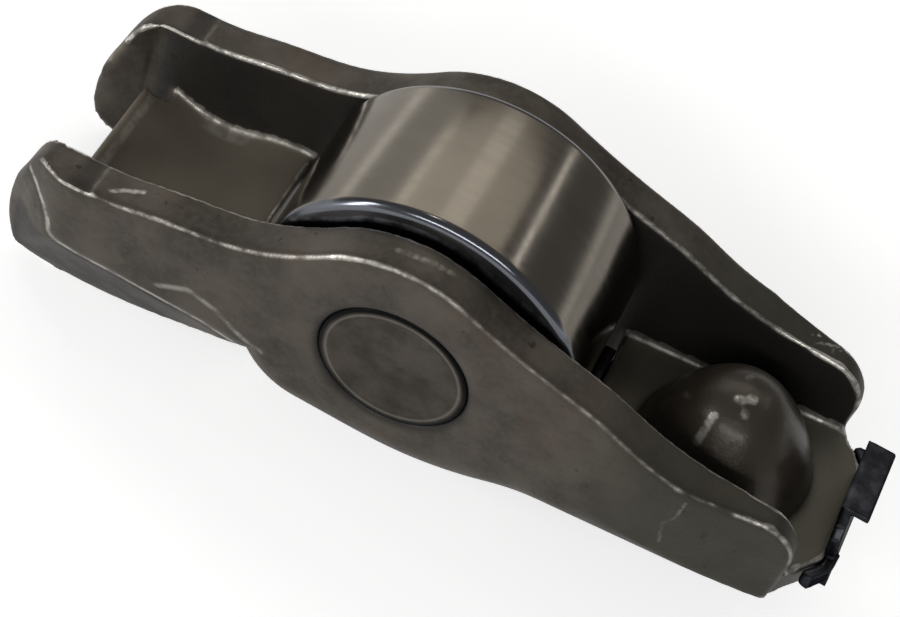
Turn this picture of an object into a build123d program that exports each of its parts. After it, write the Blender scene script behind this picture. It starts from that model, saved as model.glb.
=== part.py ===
from build123d import *
import os
from math import acos, asin, atan2, cos, degrees, radians, sin, sqrt, tan

os.makedirs("parts", exist_ok=True)

# Roller finger follower (rocker arm), in millimetres.
#
# Origin: centre of the roller axle.  +X runs along the arm to the ball-socket
# end, -X to the valve end, +Y across the arm along the axle, +Z up to the cam.

# ---------------------------------------------------------------- driving sizes
# cam roller and its needle row
roller_diameter = 18.0
roller_width = 9.5
roller_edge_round = 0.55
roller_bore_chamfer = 0.25
roller_side_clearance = 0.28         # between roller and each wall
axle_diameter = 8.1
needle_diameter = 1.8
needle_count = 17
needle_running_clearance = 0.02      # between needle and each raceway
needle_end_clearance = 0.12          # between needle end and roller side
needle_end_chamfer = 0.2

# stamped arm: sheet and overall shape
wall_thickness = 2.31
valve_end_x = -22.95
wall_end_x = 22.45                   # end of the side walls at the socket end
bend_radius = 3.0                    # outside radius where wall turns under
rim_round = 0.4                      # broken outer edge along the wall tops
wall_band_z = -2.85                  # walls are flat from here up to their tops

# top edge of the side walls, from the valve end to the socket end
ear_top_x = -19.4
ear_top_z = 0.88
ear_top_slope = 0.05
ear_upright_z = -5.3                 # the ear's end is upright from here down
ear_shoulder = (-22.05, -2.1)
rise_points = ((-16.8, 1.05), (-13.9, 1.8), (-9.3, 3.0), (-5.7, 5.4))
crest_x = -0.4
crest_z = 7.65
crest_radius = 7.0
crest_half_angle = 22.0
fall_points = ((5.3, 6.0), (8.0, 5.2))
knee_x = 11.0
knee_z = 4.3
knee_slope = -0.42
shelf_points = ((13.6, 3.25), (16.8, 2.6))
shelf_end_x = 20.4
shelf_end_z = 2.4
shelf_end_slope = -0.04
wall_end_corner = (21.75, 1.55)
wall_end_upright_z = -0.6

# valve guides: the walls' lower edge beside the valve stem, leaning in
guide_crease_z = -4.2                # outer faces lean in below here
guide_lean = 0.40                    # inward for each unit downward
guide_bottom_z = -9.7                # lowest point of the guides
guide_corner_radius = 3.6
guide_root_x = -8.0                  # where the guides run into the belly
guide_root_z = -5.45
guide_root_slope = 0.40

# belly of the walls, round the axle
belly_z = -8.3
belly_start_x = -9.2
belly_corner_radius = 5.0
belly_points = ((6.6, -6.95), (2.6, -8.1))

# plan shape of the side walls
ear_curl_x = -18.7                   # outer faces start to curl in here
ear_curl_points = ((-20.4, 6.8), (-21.9, 5.7))
ear_tip_half_width = 4.6             # to the outside of each ear's tip
ear_bend_x = -20.1                   # inner faces bend in past here
ear_tip_half_gap = 3.75              # to the inside of each ear's tip
socket_end_crease_x = 15.5
socket_end_draw_in = 10.0            # degrees that the wall turns in there

# valve pallet
pallet_low_x = -15.6
pallet_low_z = -4.4
pallet_valley_radius = 5.6
pallet_valley_half_angle = 25.0      # on the roller's side
pallet_thickness = 1.9
pallet_pad_half_angle = 32.0         # of the rounded pad under the pallet
pallet_shoulder_z = -3.05
pallet_shoulder_slope = 0.03
pallet_rim_x = -19.85
pallet_notch_width = 1.0
pallet_notch_depth = 1.4
valve_slot_width = 8.6               # between the guides, at the pad
valve_slot_mouth_width = 7.0         # between the guides' lower ends

# roller window and web of the socket end
window_valve_clearance = 0.8         # between roller and pallet
window_web_clearance = 0.75          # between roller and web
web_start_z = -3.65                  # web top at the window's edge
web_pitch = 6.6                      # degrees that the web climbs
web_thickness = 2.25
web_end_x = 24.2
web_end_half_width = 3.2
web_end_corner_radius = 0.8
web_side_step = 0.4                  # web beyond the walls' inner faces, past their ends
web_inner_round = 0.45

# ball socket: dome outside, cone and spherical seat inside
socket_x = 17.2
dome_height = 6.25
dome_tip_radius = 2.6
dome_half_angle = 29.0
dome_foot_radius = 0.7
dome_foot_in_wall = 0.3              # how far the dome's foot runs into the walls
seat_radius = 2.9
seat_roof = 1.9
seat_cone_angle = 15.0

# axle seat in the walls
axle_press = 0.005                   # radial interference of the axle
countersink_radius = 4.36
countersink_depth = 0.40
axle_set_in = 0.12                   # axle face below the wall face
axle_flare = 0.12                    # staked lip spread into the countersink
axle_edge_break = 0.14
axle_dish_radius = 3.35
axle_dish_slope = 0.12               # half width of the dish's sloping edge
axle_dish_depth = 0.10

# spring clip that keeps the ball in its socket
clip_sheet = 0.45
clip_half_width = 4.1
clip_inset = 0.5                     # clip plate inside the web's end corners
clip_gap_to_web = 0.03
clip_gap_to_roller = 0.1
clip_front_half_width = 3.2
clip_front_taper = 3.2
clip_front_rise = 2.9                # front tab, above the clip sheet
clip_gap_to_end = 0.3                # end flange and wings to the web's edges
clip_wing_length = 1.3
clip_wing_top = 0.15                 # below the web's top face
clip_wing_height = 1.1
clip_tongue_half_width = 2.35
clip_root_half_width = 2.9
clip_tongue_rise = 5.85
clip_tongue_lean = 0.08              # towards the dome for each unit of rise
clip_tongue_lip = 0.95
clip_lip_drop = 0.15
clip_tongue_neck = (0.62, 0.72)      # shares of the rise where it narrows
clip_grip_width = 5.1                # between the strips that hold the ball's neck
clip_grip_length = 6.8
clip_grip_corner_radius = 1.5
clip_strip_width = 0.6
clip_slit_width = 0.5
clip_slit_length = 7.4
clip_slit_end_radius = 0.22

# ---------------------------------------------------------------- derived sizes
roller_radius = roller_diameter / 2
axle_radius = axle_diameter / 2
needle_radius = needle_diameter / 2
race_radius = axle_radius + needle_diameter + 2 * needle_running_clearance
needle_pitch_radius = (axle_radius + race_radius) / 2
half_gap = roller_width / 2 + roller_side_clearance
half_width = half_gap + wall_thickness
arm_width = 2 * half_width
window_start_x = -roller_radius - window_valve_clearance
window_end_x = roller_radius + window_web_clearance
clip_front_x = roller_radius + clip_gap_to_roller + clip_sheet
web_side = half_gap + web_side_step
clip_end_x = web_end_x + clip_gap_to_end + clip_sheet
reach = 4 * arm_width                # longer than the arm, for cutting tools
overcut = 1.0                        # how far a cutting tool runs past the metal
touching = 0.01                      # nearer than this counts as on a plane
web_slope = tan(radians(web_pitch))


# ---------------------------------------------------------------- small helpers
def polar(x, z, radius, angle):
    """Point at an angle in degrees on a circle about (x, z)."""
    a = radians(angle)
    return (x + radius * cos(a), z + radius * sin(a))


def arc(x, z, radius, start, end):
    """Arc about (x, z) from one angle to another, in degrees."""
    middle = (start + end) / 2
    return ThreePointArc(*(polar(x, z, radius, a) for a in (start, middle, end)))


def side_prism(lines, half):
    """Solid with an XZ outline, reaching half to each side of the arm."""
    return extrude(Plane.XZ * make_face(lines), amount=half, both=True)


def web_height(x):
    """Height of the web's top face at x."""
    return web_start_z + (x - window_end_x) * web_slope


def on_web(solid):
    """Set a solid, drawn square to the web at the socket, on the web."""
    return Pos(socket_x, 0, web_height(socket_x)) * Rot(0, -web_pitch, 0) * solid


def turned(outline):
    """Solid of revolution about Z from an outline of (radius, height) lines."""
    return revolve(Plane.XZ * make_face(outline), Axis.Z)


# ---------------------------------------------------------------- stamped arm
def top_edge():
    """Top edge of the side walls, from the valve end to the socket end."""
    crest_low = crest_z - crest_radius
    start, end = 90 + crest_half_angle, 90 - crest_half_angle
    slope = radians(crest_half_angle)
    crest = arc(crest_x, crest_low, crest_radius, start, end)
    ear = Spline(
        (valve_end_x, ear_upright_z),
        ear_shoulder,
        (ear_top_x, ear_top_z),
        tangents=[(0, 1), (1, ear_top_slope)],
    )
    rise = Spline(
        (ear_top_x, ear_top_z),
        *rise_points,
        polar(crest_x, crest_low, crest_radius, start),
        tangents=[(1, ear_top_slope), (cos(slope), sin(slope))],
    )
    fall = Spline(
        polar(crest_x, crest_low, crest_radius, end),
        *fall_points,
        (knee_x, knee_z),
        tangents=[(cos(slope), -sin(slope)), (1, knee_slope)],
    )
    shelf = Spline(
        (knee_x, knee_z),
        *shelf_points,
        (shelf_end_x, shelf_end_z),
        tangents=[(1, knee_slope), (1, shelf_end_slope)],
    )
    corner = ThreePointArc(
        (shelf_end_x, shelf_end_z), wall_end_corner, (wall_end_x, wall_end_upright_z)
    )
    return [ear, rise, crest, fall, shelf, corner]


def side_walls():
    """Side walls with their ears and guides, but for the belly and the channel."""
    foot_x = valve_end_x + guide_corner_radius
    foot_z = guide_bottom_z + guide_corner_radius
    inner_band = Polyline(
        (wall_end_x, wall_end_upright_z),
        (wall_end_x, web_height(wall_end_x) - web_thickness / 2),
        (window_end_x, wall_band_z),
        (belly_start_x + bend_radius, wall_band_z),
        (guide_root_x, guide_root_z),
    )
    bottom = Spline(
        (guide_root_x, guide_root_z),
        (foot_x, guide_bottom_z),
        tangents=[(-1, -guide_root_slope), (-1, 0)],
    )
    foot = arc(foot_x, foot_z, guide_corner_radius, 270, 180)
    upright = Line((valve_end_x, foot_z), (valve_end_x, ear_upright_z))
    walls = side_prism([*top_edge(), inner_band, bottom, foot, upright], half_width)
    return walls & guide_section()


def guide_section():
    """Cross-section of both guides' outer faces, as a long solid."""
    low = guide_bottom_z - overcut
    low_half = half_width - guide_lean * (guide_crease_z - low)
    outline = Polyline(
        (-low_half, low),
        (-half_width, guide_crease_z),
        (-half_width, reach),
        (half_width, reach),
        (half_width, guide_crease_z),
        (low_half, low),
        close=True,
    )
    return extrude(Plane.YZ * make_face(outline), amount=reach, both=True)


def belly_walls():
    """Lower walls under the axle and the channel that carries the socket."""
    web_bottom = web_height(window_end_x) - web_thickness
    end_bottom = web_height(wall_end_x) - web_thickness
    corner_x = belly_start_x + belly_corner_radius
    corner_z = belly_z + belly_corner_radius
    left = Polyline(
        (belly_start_x, corner_z),
        (belly_start_x, wall_band_z + overcut),
        (wall_end_x, wall_band_z + overcut),
        (wall_end_x, end_bottom),
    )
    channel = Line((wall_end_x, end_bottom), (window_end_x, web_bottom))
    belly = Spline(
        (window_end_x, web_bottom),
        *belly_points,
        (corner_x, belly_z),
        tangents=[(-1, -web_slope), (-1, 0)],
    )
    corner = arc(corner_x, corner_z, belly_corner_radius, 270, 180)
    walls = side_prism([left, channel, belly, corner], half_width)
    lower = walls.edges().filter_by(
        lambda e: abs(abs(e.center().Y) - half_width) < touching
        and e.center().Z < wall_band_z
        and not e.center().X > wall_end_x - touching
    )
    return fillet(lower, bend_radius)


def plan_trim():
    """Plan shape that the side walls are trimmed to, as one tall solid."""
    end_x = web_end_x
    draw_in = (end_x - socket_end_crease_x) * tan(radians(socket_end_draw_in))
    tip = (valve_end_x, -ear_tip_half_width)
    ear = Spline(
        (ear_curl_x, -half_width),
        *((x, -y) for x, y in ear_curl_points),
        tip,
        tangents=[(-1, 0), (-0.3, 1)],
    )
    near = Polyline(
        (ear_curl_x, -half_width),
        (socket_end_crease_x, -half_width),
        (end_x, draw_in - half_width),
        (end_x, 0),
    )
    closing = Polyline(tip, (valve_end_x, 0), (end_x, 0))
    half = extrude(make_face([ear, near, closing]), amount=reach, both=True)
    return half + mirror(half, Plane.XZ)


def rolled_rims(walls):
    """The walls with the outer edge of their tops rounded, as pressing leaves it."""
    tops = walls.faces().filter_by(
        lambda f: f.normal_at().Z > 0.05 and abs(f.normal_at().Y) < touching
    )
    rims = [
        edge
        for face in tops
        for edge in face.edges()
        if abs(edge.center().Y) > ear_tip_half_width
    ]
    return fillet(rims, rim_round)


def above_pallet():
    """Space over the pallet, between the side walls."""
    centre_z = pallet_low_z + pallet_valley_radius
    rim_angle = -180 + degrees(asin((centre_z - rim_height()) / pallet_valley_radius))
    end_angle = pallet_valley_half_angle - 90
    slope = radians(pallet_valley_half_angle)
    valley = arc(pallet_low_x, centre_z, pallet_valley_radius, rim_angle, end_angle)
    shoulder = Spline(
        polar(pallet_low_x, centre_z, pallet_valley_radius, end_angle),
        (window_start_x, pallet_shoulder_z),
        tangents=[(cos(slope), sin(slope)), (1, pallet_shoulder_slope)],
    )
    over = Polyline(
        (window_start_x, pallet_shoulder_z),
        (0, pallet_shoulder_z),
        (0, reach),
        (pallet_rim_x, reach),
        (pallet_rim_x, rim_height()),
    )
    return side_prism([valley, shoulder, over], half_gap)


def rim_height():
    """Top of the pallet's rim, where its valley's arc meets the rim."""
    drop = pallet_valley_radius**2 - (pallet_rim_x - pallet_low_x) ** 2
    return pallet_low_z + pallet_valley_radius - sqrt(drop)


def under_pallet():
    """Slot for the valve stem: the pad's round face over the guides' inner faces."""
    centre_z = pallet_low_z + pallet_valley_radius
    radius = pallet_valley_radius + pallet_thickness
    start_angle = -180 + degrees(acos((pallet_low_x - pallet_rim_x) / radius))
    end_angle = pallet_pad_half_angle - 90
    start = polar(pallet_low_x, centre_z, radius, start_angle)
    end = polar(pallet_low_x, centre_z, radius, end_angle)
    pad = arc(pallet_low_x, centre_z, radius, start_angle, end_angle)
    below = Polyline(
        end,
        (0, end[1]),
        (0, -reach),
        (-reach, -reach),
        (-reach, start[1]),
        start,
    )
    slot = side_prism([pad, below], half_width)
    pad_z = pallet_low_z - pallet_thickness
    closing_in = (valve_slot_width - valve_slot_mouth_width) / 2 / (pad_z - guide_bottom_z)
    section = Polyline(
        (-valve_slot_width / 2, pad_z),
        (-valve_slot_width / 2, 0),
        (valve_slot_width / 2, 0),
        (valve_slot_width / 2, pad_z),
        (valve_slot_mouth_width / 2 - closing_in, guide_bottom_z - overcut),
        (closing_in - valve_slot_mouth_width / 2, guide_bottom_z - overcut),
        close=True,
    )
    return slot & extrude(Plane.YZ * make_face(section), amount=reach, both=True)


def beyond_pallet():
    """Opening between the ears, past the pallet's rim, with its two notches."""
    narrowing = (half_gap - ear_tip_half_gap) / (ear_bend_x - valve_end_x)
    far_half = ear_tip_half_gap - narrowing
    outline = Polyline(
        (pallet_rim_x, -half_gap),
        (ear_bend_x, -half_gap),
        (valve_end_x - overcut, -far_half),
        (valve_end_x - overcut, far_half),
        (ear_bend_x, half_gap),
        (pallet_rim_x, half_gap),
        close=True,
    )
    opening = extrude(make_face(outline), amount=reach, both=True)
    notch = Box(
        pallet_notch_depth,
        pallet_notch_width,
        reach,
        align=(Align.MIN, Align.MAX, Align.CENTER),
    )
    right = Pos(pallet_rim_x, half_gap, 0) * notch
    return opening + right + mirror(right, Plane.XZ)


def roller_window():
    """Window in the web, through which the roller shows."""
    window = Box(
        window_end_x - window_start_x,
        2 * half_gap,
        reach,
        align=(Align.MIN, Align.CENTER, Align.CENTER),
    )
    return Pos(window_start_x, 0, 0) * window


def above_web():
    """Space over the web, between the side walls."""
    over = Polyline(
        (window_end_x - overcut, web_height(window_end_x - overcut)),
        (reach, web_height(reach)),
        (reach, reach),
        (window_end_x - overcut, reach),
        close=True,
    )
    space = side_prism(over, half_gap)
    foot = space.edges().filter_by(
        lambda e: abs(abs(e.center().Y) - half_gap) < touching
        and abs(e.center().Z - web_height(e.center().X)) < touching
    )
    return fillet(foot, web_inner_round)


def web_tongue():
    """Web past the ends of the side walls, narrowing to its end."""
    start_x = (socket_x + wall_end_x) / 2
    outline = Polyline(
        (start_x, -web_side),
        (wall_end_x, -web_side),
        (web_end_x, -web_end_half_width),
        (web_end_x, web_end_half_width),
        (wall_end_x, web_side),
        (start_x, web_side),
        close=True,
    )
    post = extrude(make_face(outline), amount=reach, both=True)
    slab = side_prism(
        Polyline(
            (start_x, web_height(start_x)),
            (web_end_x + overcut, web_height(web_end_x + overcut)),
            (web_end_x + overcut, web_height(web_end_x + overcut) - web_thickness),
            (start_x, web_height(start_x) - web_thickness),
            close=True,
        ),
        half_width,
    )
    tongue = post & slab
    corners = tongue.edges().filter_by(Axis.Z).filter_by(
        lambda e: e.center().X > web_end_x - touching
    )
    return fillet(corners, web_end_corner_radius)


def dome_foot():
    """Radius at which the dome's cone would meet the web."""
    a = radians(dome_half_angle)
    tip_z = dome_height - dome_tip_radius
    return dome_tip_radius * cos(a) + (tip_z + dome_tip_radius * sin(a)) * tan(a)


def dome():
    """Pressed dome of the ball socket: round tip, cone and concave foot."""
    a = radians(dome_half_angle)
    tip_z = dome_height - dome_tip_radius
    foot_x = dome_foot() + dome_foot_radius * (1 - sin(a)) / cos(a)
    tip = arc(0, tip_z, dome_tip_radius, 90, dome_half_angle)
    foot = arc(foot_x, dome_foot_radius, dome_foot_radius, 180 + dome_half_angle, 270)
    flank = Line(
        polar(0, tip_z, dome_tip_radius, dome_half_angle),
        polar(foot_x, dome_foot_radius, dome_foot_radius, 180 + dome_half_angle),
    )
    inside = Polyline(
        (foot_x, 0), (foot_x, -web_thickness / 2), (0, -web_thickness / 2), (0, dome_height)
    )
    return turned([tip, flank, foot, inside])


def socket():
    """Hollow of the ball socket: spherical seat and a cone to its mouth."""
    seat_z = dome_height - seat_roof - seat_radius
    seat = arc(0, seat_z, seat_radius, 90, seat_cone_angle)
    cone_start = polar(0, seat_z, seat_radius, seat_cone_angle)
    mouth_z = -web_thickness - overcut
    mouth_x = cone_start[0] + (cone_start[1] - mouth_z) * tan(radians(seat_cone_angle))
    rest = Polyline(
        cone_start, (mouth_x, mouth_z), (0, mouth_z), (0, seat_z + seat_radius)
    )
    return turned([seat, rest])


def axle_hole():
    """Hole through both walls, countersunk on the outside."""
    radius = axle_radius - axle_press
    outline = Polyline(
        (0, -half_width - overcut),
        (countersink_radius, -half_width - overcut),
        (countersink_radius, -half_width),
        (radius, -half_width + countersink_depth),
        (radius, half_width - countersink_depth),
        (countersink_radius, half_width),
        (countersink_radius, half_width + overcut),
        (0, half_width + overcut),
        close=True,
    )
    return Rot(90, 0, 0) * turned(outline)


def arm_body():
    """The stamped arm, one piece of sheet."""
    body = rolled_rims((side_walls() + belly_walls()) & plan_trim())
    body -= above_pallet()
    body -= under_pallet()
    body -= beyond_pallet()
    body -= roller_window()
    body -= above_web()
    body += web_tongue()
    body += on_web(dome()) & side_prism(
        Polyline(
            (window_end_x, -reach),
            (reach, -reach),
            (reach, reach),
            (window_end_x, reach),
            close=True,
        ),
        half_gap + dome_foot_in_wall,
    )
    body -= on_web(socket())
    body -= axle_hole()
    return body


# ---------------------------------------------------------------- axle, roller
def axle_pin():
    """Hardened axle, its ends dished and staked into the countersinks."""
    end = half_width - axle_set_in
    stake = half_width - countersink_depth
    half = [
        (0, 0),
        (axle_radius, 0),
        (axle_radius, stake),
        (axle_radius + axle_flare, end - axle_edge_break),
        (axle_radius + axle_flare - axle_edge_break, end),
        (axle_dish_radius + axle_dish_slope, end),
        (axle_dish_radius - axle_dish_slope, end - axle_dish_depth),
        (0, end - axle_dish_depth),
    ]
    top = turned(Polyline(*half, close=True))
    return Rot(90, 0, 0) * (top + mirror(top, Plane.XY))


def roller_ring():
    """Cam roller: plain ring with rounded shoulders and a chamfered bore."""
    ring = Cylinder(roller_radius, roller_width)
    rims = ring.edges().filter_by(GeomType.CIRCLE)
    ring = fillet(rims, roller_edge_round)
    ring -= Cylinder(race_radius, roller_width + overcut)
    bore_edges = ring.edges().filter_by(GeomType.CIRCLE).filter_by(
        lambda e: abs(e.radius - race_radius) < touching
    )
    ring = chamfer(bore_edges, roller_bore_chamfer)
    return Rot(90, 0, 0) * ring


def needle(index):
    """One needle of the full row between axle and roller."""
    angle = 360 * index / needle_count
    x, z = polar(0, 0, needle_pitch_radius, angle)
    roller = Cylinder(needle_radius, roller_width - 2 * needle_end_clearance)
    roller = chamfer(roller.edges().filter_by(GeomType.CIRCLE), needle_end_chamfer)
    return Pos(x, 0, z) * Rot(90, 0, 0) * roller


# ---------------------------------------------------------------- spring clip
def web_corner_line():
    """Start of the web's slanted end edge, its direction, and the way out of it."""
    slant = atan2(web_end_x - wall_end_x, web_side - web_end_half_width)
    corner = Vector(web_end_x - socket_x, web_end_half_width)
    return corner, Vector(-sin(slant), cos(slant)), Vector(cos(slant), sin(slant))


def clip_front():
    """Front edge of the clip's flat, where the upright front tab starts."""
    return clip_front_x - socket_x - web_thickness * web_slope


def clip_plate():
    """Flat of the clip under the web, with the grip for the ball's neck."""
    corner, along, outward = web_corner_line()
    front = clip_front()
    end = clip_end_x - socket_x
    root = corner - outward * clip_inset
    side = root + along * (clip_half_width - root.Y) / along.Y
    half_outline = Polyline(
        (front, 0),
        (front, clip_front_half_width),
        (front + clip_front_taper, clip_half_width),
        (side.X, side.Y),
        (root.X, min(root.Y, clip_root_half_width)),
        (end, clip_root_half_width),
        (end, 0),
        close=True,
    )
    half_plate = extrude(make_face(half_outline), amount=-clip_sheet)
    plate = half_plate + mirror(half_plate, Plane.XZ)
    opening = RectangleRounded(clip_grip_length, clip_grip_width, clip_grip_corner_radius)
    plate -= extrude(opening, amount=reach, both=True)
    slit = RectangleRounded(clip_slit_length, clip_slit_width, clip_slit_end_radius)
    slit_y = clip_grip_width / 2 + clip_strip_width + clip_slit_width / 2
    for side in (-1, 1):
        plate -= extrude(Pos(0, side * slit_y) * slit, amount=reach, both=True)
    return plate


def clip_tongue():
    """End flange of the clip, narrowing to a tongue with a bent lip."""
    end = clip_end_x - socket_x
    root = end - clip_sheet
    lean = clip_tongue_lean * clip_tongue_rise
    lip_top = clip_tongue_rise - clip_lip_drop
    bend = side_prism(
        Polyline(
            (root, -clip_sheet),
            (end, -clip_sheet),
            (end - lean, clip_tongue_rise - clip_sheet),
            (end - lean + clip_tongue_lip, lip_top - clip_sheet),
            (end - lean + clip_tongue_lip, lip_top),
            (root - lean, clip_tongue_rise),
            close=True,
        ),
        clip_root_half_width,
    )
    neck, shoulder = (share * clip_tongue_rise for share in clip_tongue_neck)
    half_view = Polyline(
        (0, -clip_sheet),
        (clip_root_half_width, -clip_sheet),
        (clip_root_half_width, neck),
        (clip_tongue_half_width, shoulder),
        (clip_tongue_half_width, 2 * clip_tongue_rise),
        (0, 2 * clip_tongue_rise),
        close=True,
    )
    half = extrude(Plane.YZ * make_face(half_view), amount=reach)
    return bend & (half + mirror(half, Plane.XZ))


def clip_wing():
    """Wing of the end flange, bent round the web's slanted end edge."""
    corner, along, outward = web_corner_line()
    end = clip_end_x - socket_x
    inner = corner + outward * clip_gap_to_end
    outer = inner + outward * clip_sheet
    outline = Polyline(
        (end - clip_sheet, clip_root_half_width - clip_sheet),
        (end, clip_root_half_width - clip_sheet),
        (outer.X, outer.Y),
        tuple(outer + along * clip_wing_length)[:2],
        tuple(inner + along * clip_wing_length)[:2],
        (inner.X, inner.Y),
        close=True,
    )
    wing = extrude(make_face(outline), amount=-clip_wing_height)
    return Pos(0, 0, -clip_wing_top) * wing


def retaining_clip():
    """Bent spring clip under the web: front tab, ball grip, wings and tongue."""
    front = clip_front()
    top = front + clip_front_rise * web_slope
    tab = side_prism(
        Polyline(
            (front, -clip_sheet),
            (top, clip_front_rise),
            (top - clip_sheet, clip_front_rise),
            (front - clip_sheet, -clip_sheet),
            close=True,
        ),
        clip_front_half_width,
    )
    wing = clip_wing()
    below = Pos(0, 0, -web_thickness - clip_gap_to_web)
    return on_web(below * (clip_plate() + tab + clip_tongue()) + wing + mirror(wing, Plane.XZ))


# ---------------------------------------------------------------- the set
def build():
    parts = {
        "arm_body": arm_body(),
        "axle_pin": axle_pin(),
        "roller_ring": roller_ring(),
        "retaining_clip": retaining_clip(),
    }
    for index in range(needle_count):
        parts[f"needle_{index + 1:02d}"] = needle(index)
    return parts


for name, solid in build().items():
    solid.label = name
    export_step(solid, f"parts/{name}.step")
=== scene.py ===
"""Dresses a roller rocker arm: its own shapes, finishes, floor, lamps and camera."""

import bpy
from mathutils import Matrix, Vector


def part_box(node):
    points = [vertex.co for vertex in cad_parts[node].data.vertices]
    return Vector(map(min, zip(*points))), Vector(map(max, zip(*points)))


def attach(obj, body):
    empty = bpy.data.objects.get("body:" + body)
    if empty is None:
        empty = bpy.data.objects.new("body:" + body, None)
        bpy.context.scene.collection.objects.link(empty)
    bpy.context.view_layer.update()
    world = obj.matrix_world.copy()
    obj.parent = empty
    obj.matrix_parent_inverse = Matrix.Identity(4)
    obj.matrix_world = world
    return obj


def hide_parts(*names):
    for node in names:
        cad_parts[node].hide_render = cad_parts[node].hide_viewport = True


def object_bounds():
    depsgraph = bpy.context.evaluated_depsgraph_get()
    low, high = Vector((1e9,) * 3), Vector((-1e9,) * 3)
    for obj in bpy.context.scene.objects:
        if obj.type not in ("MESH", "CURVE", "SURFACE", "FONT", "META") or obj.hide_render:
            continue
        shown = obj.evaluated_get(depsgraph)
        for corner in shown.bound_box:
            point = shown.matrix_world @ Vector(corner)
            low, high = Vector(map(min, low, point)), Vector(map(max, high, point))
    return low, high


bl_info = {
    "name": "Roller rocker arm",
    "version": (1, 0, 0),
    "blender": (4, 5, 0),
    "location": "View3D > Sidebar > Rocker Arm",
    "description": "Builds the dressed pieces of a roller rocker arm over its frame",
    "category": "Object",
}

from math import atan2, cos, pi, radians, sin, tan
from typing import NamedTuple

import bmesh
import bpy
import numpy as np
from mathutils import Matrix, Vector

MM = 0.001
WHITE = (1.0, 1.0, 1.0, 1.0)

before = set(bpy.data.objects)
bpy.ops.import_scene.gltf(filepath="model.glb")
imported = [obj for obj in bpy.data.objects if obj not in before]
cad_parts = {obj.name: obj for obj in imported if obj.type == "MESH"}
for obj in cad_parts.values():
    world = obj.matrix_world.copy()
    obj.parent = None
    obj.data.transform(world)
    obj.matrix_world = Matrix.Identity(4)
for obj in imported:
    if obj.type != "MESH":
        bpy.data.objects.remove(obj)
cad_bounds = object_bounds()


# -------------------- places
ROLLER_LOW, ROLLER_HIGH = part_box("roller_ring")
AXLE_LOW, AXLE_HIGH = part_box("axle_pin")

ROLLER_RADIUS = (ROLLER_HIGH.z - ROLLER_LOW.z) / 2
ROLLER_HALF_WIDTH = (ROLLER_HIGH.y - ROLLER_LOW.y) / 2
AXLE_HALF_LENGTH = (AXLE_HIGH.y - AXLE_LOW.y) / 2
AXLE_FLARED_RADIUS = (AXLE_HIGH.z - AXLE_LOW.z) / 2

# the socket's dome and the web that it stands on
DOME_PLACE = Vector((17.2, 0.0, -2.79)) * MM
DOME_FOOT = 5.4 * MM
WEB_PITCH = radians(6.6)


# -------------------- settings
class RockerArmShape(bpy.types.PropertyGroup):
    """Sizes of the dressed pieces."""

    grain: bpy.props.FloatProperty(
        name="Grain",
        description="Spacing of the even mesh that the stamped arm is made of",
        default=0.19 * MM,
        min=0.1 * MM,
        unit="LENGTH",
    )
    softening: bpy.props.IntProperty(
        name="Softening",
        description="How many times the stamped arm's edges are eased",
        default=5,
        min=0,
        max=40,
    )
    clip_grain: bpy.props.FloatProperty(
        name="Clip grain",
        description="Spacing of the even mesh that the spring clip is made of",
        default=0.1 * MM,
        min=0.05 * MM,
        unit="LENGTH",
    )
    axle_radius: bpy.props.FloatProperty(
        name="Axle radius",
        description="Radius of the axle between the walls",
        default=4.05 * MM,
        unit="LENGTH",
    )
    needle_radius: bpy.props.FloatProperty(
        name="Needle radius",
        description="Radius of each needle of the bearing",
        default=0.9 * MM,
        unit="LENGTH",
    )
    needle_count: bpy.props.IntProperty(
        name="Needles",
        description="How many needles run round the axle",
        default=17,
        min=3,
    )
    running_clearance: bpy.props.FloatProperty(
        name="Running clearance",
        description="Gap between a needle and each raceway",
        default=0.02 * MM,
        unit="LENGTH",
    )


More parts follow.
